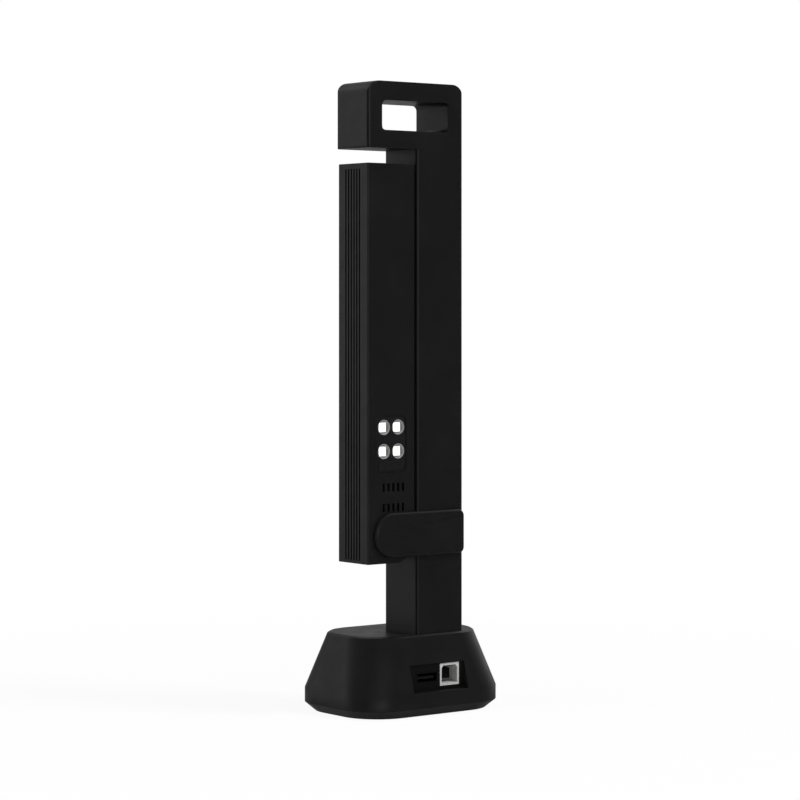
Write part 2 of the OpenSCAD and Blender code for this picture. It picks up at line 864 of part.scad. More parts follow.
module arm_body() {
    color([0.10, 0.10, 0.105])
        difference() {
            union() {
                intersection() {
                    kept(arm_front, arm_back, arm_low, arm_cap_z)
                        arm_form();
                    beside_cover(0);
                }
                difference() {
                    kept(arm_seam, arm_back, arm_low, arm_cap_z)
                        arm_form();
                    translate([arm_inner_left, arm_seam - cut, arm_floor])
                        cube([arm_inner_right - arm_inner_left, arm_inner_back - arm_seam + cut,
                              arm_cap_z - arm_floor + cut]);
                }
                for (x = arm_screw_x, z = arm_screw_z)
                    rod_y(x, z, boss_r, arm_seam, arm_back - arm_wall / 2);
                for (z = [arm_board_low + arm_board_post_inset, arm_board_high - arm_board_post_inset])
                    rod_y(arm_board_mid, z, boss_r, arm_inner_back - arm_board_post_h,
                          arm_back - arm_wall / 2);
            }
            for (i = [0 : groove_count - 1])
                translate([arm_left - cut, arm_front + groove_start + i * groove_pitch - groove_w / 2,
                           arm_low + groove_foot])
                    cube([groove_depth + cut, groove_w, arm_cap_z - arm_low]);
            rod_y(arm_mid, hinge_z, hinge_pin_r + pin_clearance, arm_seam - cut, arm_back);
            rod_y(arm_mid, hinge_z, nut_pocket_r, pocket_floor, arm_back + cut);
            for (x = arm_screw_x, z = arm_screw_z)
                screw_hole_y(x, z, arm_seam - cut, arm_back);
        }
}

// The lamp panel's outline, wider all round by a margin
module panel_outline(margin) {
    translate([arm_mid, panel_z])
        round_rect(panel_w + 2 * margin, panel_h + 2 * margin, panel_corner_r + margin);
}

// The two rows of sound slots
module sound_slots() {
    for (row = [0, 1], i = [0 : slot_count - 1])
        translate([arm_mid + slot_offset + (i - (slot_count - 1) / 2) * slot_pitch - slot_w / 2,
                   arm_front - cut, slot_z + row * slot_row_pitch - slot_h / 2])
            cube([slot_w, arm_cover_t + 2 * cut, slot_h]);
}

module arm_cover() {
    color([0.085, 0.085, 0.09])
        difference() {
            kept(arm_front, arm_seam, arm_low, arm_cap_z)
                arm_form();
            beside_cover(seat_gap);
            along_y(arm_front - cut, arm_seam + cut)
                panel_outline(0);
            sound_slots();
            rod_y(arm_mid, hinge_z, hinge_pin_r + pin_clearance, arm_front - cut, arm_seam + cut);
            for (x = arm_screw_x, z = arm_screw_z)
                screw_bite_y(x, z, arm_seam);
        }
}

module arm_end_cap() {
    color([0.10, 0.10, 0.105])
        kept(arm_front, arm_back, arm_cap_z, arm_top)
            arm_form();
}

module arm_screws() {
    color([0.55, 0.55, 0.57])
        for (x = arm_screw_x, z = arm_screw_z)
            screw_y(x, z, arm_seam - screw_bite, arm_back);
}

module hinge_cap() {
    color([0.085, 0.085, 0.09])
        rod_y(arm_mid, hinge_z, nut_pocket_r - seat_gap, arm_back - hinge_cap_t, arm_back);
}

// Places of the four lamps, looking into the arm
module at_lamps() {
    for (sx = [-1, 1], sz = [-1, 1])
        translate([arm_mid + sx * lamp_pitch_x / 2, panel_face, lamp_z + sz * lamp_pitch_z / 2])
            rotate([-90, 0, 0])
                children();
}

module lamp_panel() {
    color([0.085, 0.085, 0.09])
        difference() {
            union() {
                along_y(panel_face, panel_back)
                    panel_outline(-seat_gap);
                along_y(arm_seam, panel_back)
                    panel_outline(panel_flange);
            }
            at_lamps()
                translate([0, 0, -cut])
                    cylinder(r = lamp_r + seat_gap / 2, h = panel_back - panel_face + 2 * cut);
            translate([arm_mid - window_w / 2 - seat_gap, panel_face - cut,
                       window_z - window_h / 2 - seat_gap])
                cube([window_w + 2 * seat_gap, window_face + window_t - panel_face + cut,
                      window_h + 2 * seat_gap]);
            rod_y(arm_mid, window_z, lens_r + seat_gap, panel_face, panel_back + cut);
        }
}

module lamp_reflectors() {
    cup_depth = panel_back - panel_face;
    cup_lip = 0.2;
    color([0.80, 0.80, 0.79])
        at_lamps()
            rotate_extrude()
                polygon([[0, bowl_depth], [lamp_r - bowl_rim, bowl_depth], [lamp_r - cup_lip, 0],
                         [lamp_r, 0], [lamp_r, cup_depth], [0, cup_depth]]);
}

module lamp_emitters() {
    color([0.98, 0.97, 0.92])
        at_lamps()
            translate([-emitter_w / 2, -emitter_h / 2, bowl_depth - emitter_t])
                cube([emitter_w, emitter_h, emitter_t]);
}

module lamp_board() {
    color([0.05, 0.25, 0.12])
        along_y(panel_back, panel_back + lamp_board_t)
            panel_outline(-seat_gap);
}

module camera_window() {
    color([0.04, 0.04, 0.05])
        translate([arm_mid - window_w / 2, window_face, window_z - window_h / 2])
            cube([window_w, window_t, window_h]);
}

module camera_lens() {
    color([0.12, 0.12, 0.16])
        rod_y(arm_mid, window_z, lens_r, window_face + window_t, panel_back);
}

// The speaker lies on the cover's back, behind both rows of slots
module speaker() {
    speaker_w = (slot_count - 1) * slot_pitch + slot_w + 2 * speaker_rim;
    speaker_h = slot_row_pitch + slot_h + 2 * speaker_rim;
    color([0.05, 0.05, 0.05])
        translate([arm_mid + slot_offset - speaker_w / 2, arm_seam, slot_z - slot_h / 2 - speaker_rim])
            cube([speaker_w, speaker_t, speaker_h]);
}

module arm_board() {
    color([0.05, 0.25, 0.12])
        translate([arm_board_mid - arm_board_w / 2, arm_inner_back - arm_board_post_h - arm_board_t,
                   arm_board_low])
            cube([arm_board_w, arm_board_t, arm_board_high - arm_board_low]);
}

base_shell();
base_plate();
rubber_feet();
base_screws();
ballast_weight();
port_board();
square_socket();
square_socket_tongue();
flat_socket();
flat_socket_tongue();
upright_body();
upright_bolts();
upright_cover();
cover_screws();
hinge_plate();
hinge_screws();
hinge_pin();
friction_washer();
spring_washer();
hinge_nut();
arm_body();
arm_cover();
arm_end_cap();
arm_screws();
hinge_cap();
lamp_panel();
lamp_reflectors();
lamp_emitters();
lamp_board();
camera_window();
camera_lens();
speaker();
arm_board();
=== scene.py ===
import math

import bmesh
import bpy
from mathutils import Matrix, Vector


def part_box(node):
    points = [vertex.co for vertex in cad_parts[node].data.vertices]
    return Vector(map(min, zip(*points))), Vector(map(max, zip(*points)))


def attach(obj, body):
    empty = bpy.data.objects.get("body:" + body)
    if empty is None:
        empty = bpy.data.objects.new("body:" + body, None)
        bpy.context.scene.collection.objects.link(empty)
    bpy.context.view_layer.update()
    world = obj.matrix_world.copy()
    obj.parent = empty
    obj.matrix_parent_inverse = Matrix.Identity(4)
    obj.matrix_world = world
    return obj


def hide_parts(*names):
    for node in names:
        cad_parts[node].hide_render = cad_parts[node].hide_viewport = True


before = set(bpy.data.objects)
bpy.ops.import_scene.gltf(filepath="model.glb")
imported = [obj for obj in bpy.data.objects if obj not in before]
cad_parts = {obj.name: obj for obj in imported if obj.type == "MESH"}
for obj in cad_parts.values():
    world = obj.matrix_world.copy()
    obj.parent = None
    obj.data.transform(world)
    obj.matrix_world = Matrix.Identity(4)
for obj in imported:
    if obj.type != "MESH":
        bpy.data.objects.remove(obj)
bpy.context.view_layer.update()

scene = bpy.context.scene
scene.view_settings.view_transform = "Standard"
MM = 0.001

# The camera stands level, low and to the left of the lamp side, so upright edges stay upright.
# It is far off with a long lens, and the picture is shifted down instead of being tilted.
CAMERA_PLACE = (-0.8364, -1.0778, 0.2030)
CAMERA_TURN = -37.8
CAMERA_LENS = 123.2
PICTURE_SHIFT = -0.125
camera_data = bpy.data.cameras.new("camera")
camera_data.sensor_width = 36.0
camera_data.lens = CAMERA_LENS
camera_data.shift_y = PICTURE_SHIFT
camera = bpy.data.objects.new("camera", camera_data)
camera.location = CAMERA_PLACE
camera.rotation_euler = (math.radians(90), 0, math.radians(CAMERA_TURN))
scene.collection.objects.link(camera)
scene.camera = camera

# The studio is a white room. Looked at, it is plain white. In a reflection it is dim, with broad pale boards
# behind on the left, on the right, beside the camera, overhead and high behind. Each has the side that it
# is on, its brightness and its tightness.
ROOM_LIGHT = 0.12
ROOM_DIM = 0.12
ROOM_BOARDS = (
    ((-0.707, 0.707, 0.0), 1.05, 14.0),
    ((0.951, 0.300, 0.080), 0.58, 6.0),
    ((-0.400, -0.916, 0.0), 2.20, 20.0),
    ((0.450, 0.150, 0.880), 1.40, 7.0),
    ((-0.250, 0.800, 0.545), 1.05, 24.0),
)
room = bpy.data.worlds.new("studio_room")
room.use_nodes = True
scene.world = room
room_nodes = room.node_tree.nodes
room_links = room.node_tree.links
room_nodes.clear()
room_out = room_nodes.new("ShaderNodeOutputWorld")
room_mix = room_nodes.new("ShaderNodeMixShader")
room_fill = room_nodes.new("ShaderNodeBackground")
room_fill.inputs["Color"].default_value = (1.0, 1.0, 1.0, 1.0)
room_fill.inputs["Strength"].default_value = ROOM_LIGHT
room_seen = room_nodes.new("ShaderNodeBackground")
room_seen.inputs["Color"].default_value = (1.0, 1.0, 1.0, 1.0)
room_way = room_nodes.new("ShaderNodeTexCoord")
room_dim = room_nodes.new("ShaderNodeValue")
room_dim.outputs[0].default_value = ROOM_DIM
room_sum = room_dim.outputs[0]
for side, brightness, tightness in ROOM_BOARDS:
    towards = room_nodes.new("ShaderNodeVectorMath")
    towards.operation = "DOT_PRODUCT"
    towards.inputs[1].default_value = side
    room_links.new(room_way.outputs["Generated"], towards.inputs[0])
    facing_it = room_nodes.new("ShaderNodeMath")
    facing_it.operation = "MAXIMUM"
    facing_it.inputs[1].default_value = 0.0
    room_links.new(towards.outputs["Value"], facing_it.inputs[0])
    falling_off = room_nodes.new("ShaderNodeMath")
    falling_off.operation = "POWER"
    falling_off.inputs[1].default_value = tightness
    room_links.new(facing_it.outputs[0], falling_off.inputs[0])
    added = room_nodes.new("ShaderNodeMath")
    added.operation = "MULTIPLY_ADD"
    added.inputs[1].default_value = brightness
    room_links.new(falling_off.outputs[0], added.inputs[0])
    room_links.new(room_sum, added.inputs[2])
    room_sum = added.outputs[0]
room_ray = room_nodes.new("ShaderNodeLightPath")
room_strength = room_nodes.new("ShaderNodeMix")
room_strength.inputs["A"].default_value = 1.0
room_links.new(room_ray.outputs["Is Glossy Ray"], room_strength.inputs["Factor"])
room_links.new(room_sum, room_strength.inputs["B"])
room_links.new(room_strength.outputs["Result"], room_seen.inputs["Strength"])


def seen_rays(nodes, links):
    """One for rays that look at a thing, directly, in a reflection or through glass."""
    path = nodes.new("ShaderNodeLightPath")
    direct = nodes.new("ShaderNodeMath")
    direct.operation = "MAXIMUM"
    links.new(path.outputs["Is Camera Ray"], direct.inputs[0])
    links.new(path.outputs["Is Glossy Ray"], direct.inputs[1])
    through = nodes.new("ShaderNodeMath")
    through.operation = "MAXIMUM"
    links.new(direct.outputs[0], through.inputs[0])
    links.new(path.outputs["Is Transmission Ray"], through.inputs[1])
    return through.outputs[0]


def mapped(nodes, links, value, given, wanted):
    """Maps a value from its given span onto a wanted one."""
    span = nodes.new("ShaderNodeMapRange")
    span.inputs["From Min"].default_value = given[0]
    span.inputs["From Max"].default_value = given[1]
    span.inputs["To Min"].default_value = wanted[0]
    span.inputs["To Max"].default_value = wanted[1]
    links.new(value, span.inputs["Value"])
    return span.outputs["Result"]


room_links.new(seen_rays(room_nodes, room_links), room_mix.inputs["Fac"])
room_links.new(room_fill.outputs[0], room_mix.inputs[1])
room_links.new(room_seen.outputs[0], room_mix.inputs[2])
room_links.new(room_mix.outputs[0], room_out.inputs["Surface"])

SOFT_LAMPS = {
    "lamp_side": ((-1.9, 0.3, 1.3), 1.4, 24.0),
    "lamp_front": ((0.64, -1.04, 1.73), 0.4, 32.0),
    "lamp_low": ((-0.3, -1.6, 0.2), 0.5, 8.0),
}
LAMP_AIM = Vector((0.0, 0.0, 0.15))
for lamp_name, (place, width, power) in SOFT_LAMPS.items():
    lamp_data = bpy.data.lights.new(lamp_name, "AREA")
    lamp_data.size = width
    lamp_data.energy = power
    lamp = bpy.data.objects.new(lamp_name, lamp_data)
    lamp.location = place
    aim = LAMP_AIM - Vector(place)
    lamp.rotation_euler = aim.to_track_quat("-Z", "Y").to_euler()
    lamp.visible_glossy = False
    scene.collection.objects.link(lamp)

# The floor is a pale sheet that takes a faint shadow round the foot of the object, and turns to the plain
# white of the room further out. In reflections it is dim before the object and pale behind its left side.
FLOOR_HALF = 2.0
FLOOR_TONE = (0.86, 0.86, 0.86, 1.0)
FLOOR_GLOW = 0.93
SHADOW_REACH = (0.10, 0.45)
FLOOR_MIRRORED = (0.12, 0.75)
FLOOR_BEHIND = (-0.6, 0.8, 0.0)
MIRRORED_REACH = (-0.31, 1.34)
floor_mesh = bpy.data.meshes.new("floor")
floor_mesh.from_pydata(
    [(-FLOOR_HALF, -FLOOR_HALF, 0), (FLOOR_HALF, -FLOOR_HALF, 0),
     (FLOOR_HALF, FLOOR_HALF, 0), (-FLOOR_HALF, FLOOR_HALF, 0)], [], [(0, 1, 2, 3)])
floor = bpy.data.objects.new("floor", floor_mesh)
scene.collection.objects.link(floor)
floor_paper = bpy.data.materials.new("floor_paper")
floor_paper.use_nodes = True
floor_nodes = floor_paper.node_tree.nodes
floor_links = floor_paper.node_tree.links
floor_nodes.clear()
floor_out = floor_nodes.new("ShaderNodeOutputMaterial")
floor_mix = floor_nodes.new("ShaderNodeMixShader")
floor_diffuse = floor_nodes.new("ShaderNodeBsdfDiffuse")
floor_diffuse.inputs["Color"].default_value = FLOOR_TONE
floor_white = floor_nodes.new("ShaderNodeEmission")
floor_ray = floor_nodes.new("ShaderNodeLightPath")
floor_where = floor_nodes.new("ShaderNodeTexCoord")
floor_reach = floor_nodes.new("ShaderNodeVectorMath")
floor_reach.operation = "LENGTH"
floor_links.new(floor_where.outputs["Object"], floor_reach.inputs[0])
floor_behind = floor_nodes.new("ShaderNodeVectorMath")
floor_behind.operation = "DOT_PRODUCT"
floor_behind.inputs[1].default_value = FLOOR_BEHIND
floor_links.new(floor_where.outputs["Object"], floor_behind.inputs[0])
floor_mirrored = mapped(floor_nodes, floor_links, floor_behind.outputs["Value"], MIRRORED_REACH,
                        FLOOR_MIRRORED)
floor_strength = floor_nodes.new("ShaderNodeMix")
floor_strength.inputs["A"].default_value = 1.0
floor_links.new(floor_ray.outputs["Is Glossy Ray"], floor_strength.inputs["Factor"])
floor_links.new(floor_mirrored, floor_strength.inputs["B"])
floor_links.new(floor_strength.outputs["Result"], floor_white.inputs["Strength"])
floor_fade = mapped(floor_nodes, floor_links, floor_reach.outputs["Value"], SHADOW_REACH, (FLOOR_GLOW, 1.0))
floor_seen = floor_nodes.new("ShaderNodeMath")
floor_seen.operation = "MULTIPLY"
floor_links.new(floor_fade, floor_seen.inputs[0])
floor_links.new(seen_rays(floor_nodes, floor_links), floor_seen.inputs[1])
floor_links.new(floor_seen.outputs[0], floor_mix.inputs["Fac"])
floor_links.new(floor_diffuse.outputs[0], floor_mix.inputs[1])
floor_links.new(floor_white.outputs[0], floor_mix.inputs[2])
floor_links.new(floor_mix.outputs[0], floor_out.inputs["Surface"])
floor_mesh.materials.append(floor_paper)


# The base shell is one moulding in black plastic with a fine spark-eroded skin. Its edges are eased by the
# mould maker, and it stands over the desk on a lower bevel; the recess for the sockets is moulded in.
HARD_EDGE = math.radians(32.0)
FLAT_ENOUGH = math.radians(0.4)
WELD = 2e-6


def eased_copy(node, name, ease, reshape=None):
    """A copy of a node's form as one closed skin, with every hard edge rounded by the ease, in millimetres.
    ease is a length, or gives one from the middle of an edge; reshape is run on the form first."""
    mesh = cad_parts[node].data.copy()
    mesh.name = name
    if "custom_normal" in mesh.attributes:
        mesh.attributes.remove(mesh.attributes["custom_normal"])
    form = bmesh.new()
    form.from_mesh(mesh)
    bmesh.ops.remove_doubles(form, verts=form.verts, dist=WELD)
    bmesh.ops.dissolve_limit(form, angle_limit=FLAT_ENOUGH, verts=form.verts, edges=form.edges)
    if reshape:
        reshape(form)
    weight = form.edges.layers.float.new("bevel_weight_edge")
    widest = 0.0
    eases = {}
    for rim in form.edges:
        if rim.calc_face_angle(0.0) > HARD_EDGE:
            middle = (rim.verts[0].co + rim.verts[1].co) / (2 * MM)
            eases[rim] = ease(middle) if callable(ease) else ease
            widest = max(widest, eases[rim])
    for rim, own in eases.items():
        rim[weight] = own / widest
    for face in form.faces:
        face.smooth = True
    form.to_mesh(mesh)
    form.free()
    mesh.materials.clear()
    piece = bpy.data.objects.new(name, mesh)
    scene.collection.objects.link(piece)
    edge = piece.modifiers.new("eased_edges", "BEVEL")
    edge.width = widest * MM
    edge.segments = 2
    edge.limit_method = "WEIGHT"
    edge.use_clamp_overlap = True
    flat = piece.modifiers.new("even_faces", "WEIGHTED_NORMAL")
    flat.keep_sharp = False
    return set_shape(piece)


def set_shape(piece):
    """Turns what the modifiers give into the piece's own mesh."""
    bpy.context.view_layer.update()
    evaluated = piece.evaluated_get(bpy.context.evaluated_depsgraph_get())
    shaped = bpy.data.meshes.new_from_object(evaluated, preserve_all_data_layers=True,
                                             depsgraph=bpy.context.evaluated_depsgraph_get())
    piece.modifiers.clear()
    piece.data = shaped
    return piece


def shader(name, colour, rough, metal=0.0, specular=0.5):
    """A new material with its plain values set; gives the material, its nodes, its links and its shader."""
    finish = bpy.data.materials.new(name)
    finish.use_nodes = True
    nodes = finish.node_tree.nodes
    links = finish.node_tree.links
    main = nodes["Principled BSDF"]
    main.inputs["Base Color"].default_value = (*colour, 1.0)
    main.inputs["Roughness"].default_value = rough
    main.inputs["Metallic"].default_value = metal
    main.inputs["Specular IOR Level"].default_value = specular
    return finish, nodes, links, main


def noise(nodes, links, scale, detail=3.0, stretch=(1.0, 1.0, 1.0)):
    """Noise on the object's own coordinates, in features of about one over the scale, in metres."""
    where = nodes.new("ShaderNodeTexCoord")
    placed = nodes.new("ShaderNodeMapping")
    placed.inputs["Scale"].default_value = stretch
    grain = nodes.new("ShaderNodeTexNoise")
    grain.inputs["Scale"].default_value = scale
    grain.inputs["Detail"].default_value = detail
    links.new(where.outputs["Object"], placed.inputs["Vector"])
    links.new(placed.outputs["Vector"], grain.inputs["Vector"])
    return grain.outputs["Fac"]


NOISE_SPAN = (0.3, 0.7)


def spread_over(nodes, links, value, low, high):
    """Maps a noise onto a span of values."""
    return mapped(nodes, links, value, NOISE_SPAN, (low, high))


def blend_colours(nodes, links, value, first, second):
    """A colour between two, by a noise."""
    mix = nodes.new("ShaderNodeMix")
    mix.data_type = "RGBA"
    mix.inputs["A"].default_value = (*first, 1.0)
    mix.inputs["B"].default_value = (*second, 1.0)
    links.new(value, mix.inputs["Factor"])
    return mix.outputs["Result"]


def raise_grain(nodes, links, main, value, strength, height):
    """Fine relief on a surface."""
    bump = nodes.new("ShaderNodeBump")
    bump.inputs["Strength"].default_value = strength
    bump.inputs["Distance"].default_value = height
    links.new(value, bump.inputs["Height"])
    links.new(bump.outputs["Normal"], main.inputs["Normal"])


def moulded_plastic(name, colour, rough, specular, skin_strength):
    """Black moulding compound: a fine eroded skin, faint flow shades and slightly uneven gloss."""
    finish, nodes, links, main = shader(name, colour, rough, specular=specular)
    shade = noise(nodes, links, scale=38.0, detail=4.0)
    darker = tuple(FLOW_SHADES[0] * c for c in colour)
    lighter = tuple(FLOW_SHADES[1] * c for c in colour)
    links.new(blend_colours(nodes, links, spread_over(nodes, links, shade, 0.0, 1.0), darker, lighter),
              main.inputs["Base Color"])
    gloss = noise(nodes, links, scale=130.0, detail=5.0)
    links.new(spread_over(nodes, links, gloss, rough - 0.04, rough + 0.05), main.inputs["Roughness"])
    skin = noise(nodes, links, scale=2600.0, detail=2.0)
    raise_grain(nodes, links, main, skin, skin_strength, height=0.00006)
    return finish


SHELL_BLACK = (0.0065, 0.0065, 0.0067)
FLOW_SHADES = (0.86, 1.22)
shell_plastic = moulded_plastic("shell_plastic", SHELL_BLACK, rough=0.36, specular=0.22, skin_strength=0.12)


def fit(piece, finish, body, slot, *nodes):
    """Gives a finished piece its material, and sets it on its body in place of its nodes."""
    piece.data.materials.clear()
    piece.data.materials.append(finish)
    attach(piece, body)
    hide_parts(*nodes)


base_low, base_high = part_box("base_shell")
RECESS_FLOOR = -28.9 * MM
RIM_GAP = 0.1
TOP_EASE = 0.8
RECESS_EASE = 0.4
FOOT_EASE = 0.15
TOP_RIM = base_high[2] / MM - 1.0
FOOT_RIM = 4.0
NEARLY = 0.01


def base_ease(middle):
    """The rim of the top is rounded, the recess is crisper, and the foot that shuts on the desk is tight."""
    if middle.z > TOP_RIM:
        return TOP_EASE
    if middle.z < FOOT_RIM:
        return FOOT_EASE
    return RECESS_EASE


def draw_down_rim(form):
    """Draws the shell's lowest rim down to just over the desk, so that it hides the feet."""
    for vert in form.verts:
        if vert.co.z < base_low[2] + NEARLY * MM:
            vert.co.z = RIM_GAP * MM


base = eased_copy("base_shell", "base_housing", base_ease, draw_down_rim)
fit(base, shell_plastic, "stand", "black_plastic", "base_shell")
# The floor of the socket recess gets a darker, duller plastic than the shell: painted shade for the shade its
# walls cast.
recess_plastic = moulded_plastic("recess_plastic", (0.004, 0.004, 0.0041), rough=0.6, specular=0.1,
                                 skin_strength=0.3)
base.data.materials.append(recess_plastic)
for face in base.data.polygons:
    if face.normal.y < -0.99 and face.center.y > RECESS_FLOOR:
        face.material_index = 1

# The closing plate is a flat moulding that is pressed up into the base from below,
# a shade duller than the shell because nobody sees it.
closing_plastic = moulded_plastic("closing_plastic", (0.010, 0.010, 0.010), rough=0.58, specular=0.2,
                                  skin_strength=0.35)
closing = eased_copy("base_plate", "closing_plate", 0.3)
fit(closing, closing_plastic, "stand", "black_plastic", "base_plate")

# Four turned rubber feet sit at the corners of the closing plate, held by their own tack.
# Each has a rounded rim and a shallow dished sole.
FOOT_R = 4.5 * MM
feet_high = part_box("rubber_feet")[1]
FOOT_H = feet_high[2]
FOOT_REACH = (feet_high[0] - FOOT_R, feet_high[1] - FOOT_R)


def turned(name, profile, steps=48):
    """A closed turned form about Z from a list of radius and height, which starts and ends on the axis."""
    form = bmesh.new()
    line = [form.verts.new((r, 0.0, z)) for r, z in profile]
    edges = [form.edges.new(pair) for pair in zip(line, line[1:])]
    bmesh.ops.spin(form, geom=line + edges, cent=(0, 0, 0), axis=(0, 0, 1), angle=2 * math.pi,
                   steps=steps, use_merge=True)
    bmesh.ops.remove_doubles(form, verts=form.verts, dist=1e-7)
    bmesh.ops.recalc_face_normals(form, faces=form.faces)
    for face in form.faces:
        face.smooth = True
    mesh = bpy.data.meshes.new(name)
    form.to_mesh(mesh)
    form.free()
    mesh.set_sharp_from_angle(angle=math.radians(40))
    return mesh


def pattern_object(mesh):
    """The one piece that a set repeats."""
    pattern = bpy.data.objects.new(mesh.name, mesh)
    scene.collection.objects.link(pattern)
    return pattern


def grid_tree(name):
    """Repeats a pattern on a flat grid: columns and rows at their pitches, turned and set in place."""
    tree = bpy.data.node_groups.new(name, "GeometryNodeTree")
    face = tree.interface
    face.new_socket("Geometry", in_out="INPUT", socket_type="NodeSocketGeometry")
    face.new_socket("Pattern", in_out="INPUT", socket_type="NodeSocketObject")
    face.new_socket("Columns", in_out="INPUT", socket_type="NodeSocketInt")
    face.new_socket("Rows", in_out="INPUT", socket_type="NodeSocketInt")
    face.new_socket("Span across", in_out="INPUT", socket_type="NodeSocketFloat")
    face.new_socket("Span along", in_out="INPUT", socket_type="NodeSocketFloat")
    face.new_socket("Turn", in_out="INPUT", socket_type="NodeSocketVector")
    face.new_socket("Place", in_out="INPUT", socket_type="NodeSocketVector")
    face.new_socket("Finish", in_out="INPUT", socket_type="NodeSocketMaterial")
    face.new_socket("Geometry", in_out="OUTPUT", socket_type="NodeSocketGeometry")
    nodes, links = tree.nodes, tree.links
    given = nodes.new("NodeGroupInput")
    made = nodes.new("NodeGroupOutput")
    grid = nodes.new("GeometryNodeMeshGrid")
    links.new(given.outputs["Span across"], grid.inputs["Size X"])
    links.new(given.outputs["Span along"], grid.inputs["Size Y"])
    links.new(given.outputs["Columns"], grid.inputs["Vertices X"])
    links.new(given.outputs["Rows"], grid.inputs["Vertices Y"])
    shape = nodes.new("GeometryNodeObjectInfo")
    links.new(given.outputs["Pattern"], shape.inputs["Object"])
    repeat = nodes.new("GeometryNodeInstanceOnPoints")
    links.new(grid.outputs["Mesh"], repeat.inputs["Points"])
    links.new(shape.outputs["Geometry"], repeat.inputs["Instance"])
    move = nodes.new("GeometryNodeTransform")
    links.new(repeat.outputs["Instances"], move.inputs["Geometry"])
    links.new(given.outputs["Place"], move.inputs["Translation"])
    links.new(given.outputs["Turn"], move.inputs["Rotation"])
    real = nodes.new("GeometryNodeRealizeInstances")
    links.new(move.outputs["Geometry"], real.inputs["Geometry"])
    paint = nodes.new("GeometryNodeSetMaterial")
    links.new(real.outputs["Geometry"], paint.inputs["Geometry"])
    links.new(given.outputs["Finish"], paint.inputs["Material"])
    links.new(paint.outputs["Geometry"], made.inputs["Geometry"])
    return tree


def run_tree(name, tree, mesh, values):
    """Runs a tree on a mesh with its named inputs, and keeps the result as a plain piece."""
    piece = bpy.data.objects.new(name, mesh)
    scene.collection.objects.link(piece)
    run = piece.modifiers.new(tree.name, "NODES")
    run.node_group = tree
    for item in tree.interface.items_tree:
        if item.in_out == "INPUT" and item.name in values:
            run[item.identifier] = values[item.name]
    return set_shape(piece)


def set_out(name, pattern, columns, rows, span, turn, place, finish):
    """A grid of like pieces as one mesh; the pattern itself is taken away."""
    piece = run_tree(name, grid_pattern, bpy.data.meshes.new(name), {
        "Pattern": pattern, "Columns": columns, "Rows": rows, "Span across": span[0],
        "Span along": span[1], "Turn": turn, "Place": place, "Finish": finish})
    bpy.data.objects.remove(pattern)
    return piece


grid_pattern = grid_tree("set_out_on_a_grid")
foot_rubber, rubber_nodes, rubber_links, rubber_main = shader(
    "foot_rubber", (0.011, 0.011, 0.011), rough=0.8, specular=0.3)
rubber_dust = noise(rubber_nodes, rubber_links, scale=900.0, detail=6.0)
rubber_shade = blend_colours(rubber_nodes, rubber_links, rubber_dust,
                             (0.008, 0.008, 0.008), (0.02, 0.02, 0.019))
rubber_links.new(rubber_shade, rubber_main.inputs["Base Color"])
raise_grain(rubber_nodes, rubber_links, rubber_main, rubber_dust, strength=0.4, height=0.0001)
foot = turned("foot_pattern", [
    (0.0, FOOT_H), (FOOT_R, FOOT_H), (FOOT_R, 0.35 * FOOT_H), (FOOT_R - 0.1 * MM, 0.15 * FOOT_H),
    (FOOT_R - 0.35 * MM, 0.0), (FOOT_R - 1.0 * MM, 0.0), (FOOT_R - 1.3 * MM, 0.12 * FOOT_H),
    (0.0, 0.12 * FOOT_H)])
feet = set_out("desk_feet", pattern_object(foot), 2, 2, (2 * FOOT_REACH[0], 2 * FOOT_REACH[1]),
               (0.0, 0.0, 0.0), (0.0, 0.0, 0.0), foot_rubber)
fit(feet, foot_rubber, "stand", "foot_rubber", "rubber_feet")

# Cross-headed steel screws hold the closing plate, the upright's cover, the hinge plate and the arm's cover.
# They are cold-headed and zinc plated, with a pressed cross recess; all are alike but for their length.
SCREW_R = 1.4 * MM
HEAD_R = 2.6 * MM
HEAD_H = 1.6 * MM
CROSS_W = 0.75 * MM
CROSS_SPAN = 3.0 * MM
CROSS_DEPTH = 0.9 * MM
ROLLED_EDGE = 0.2 * MM


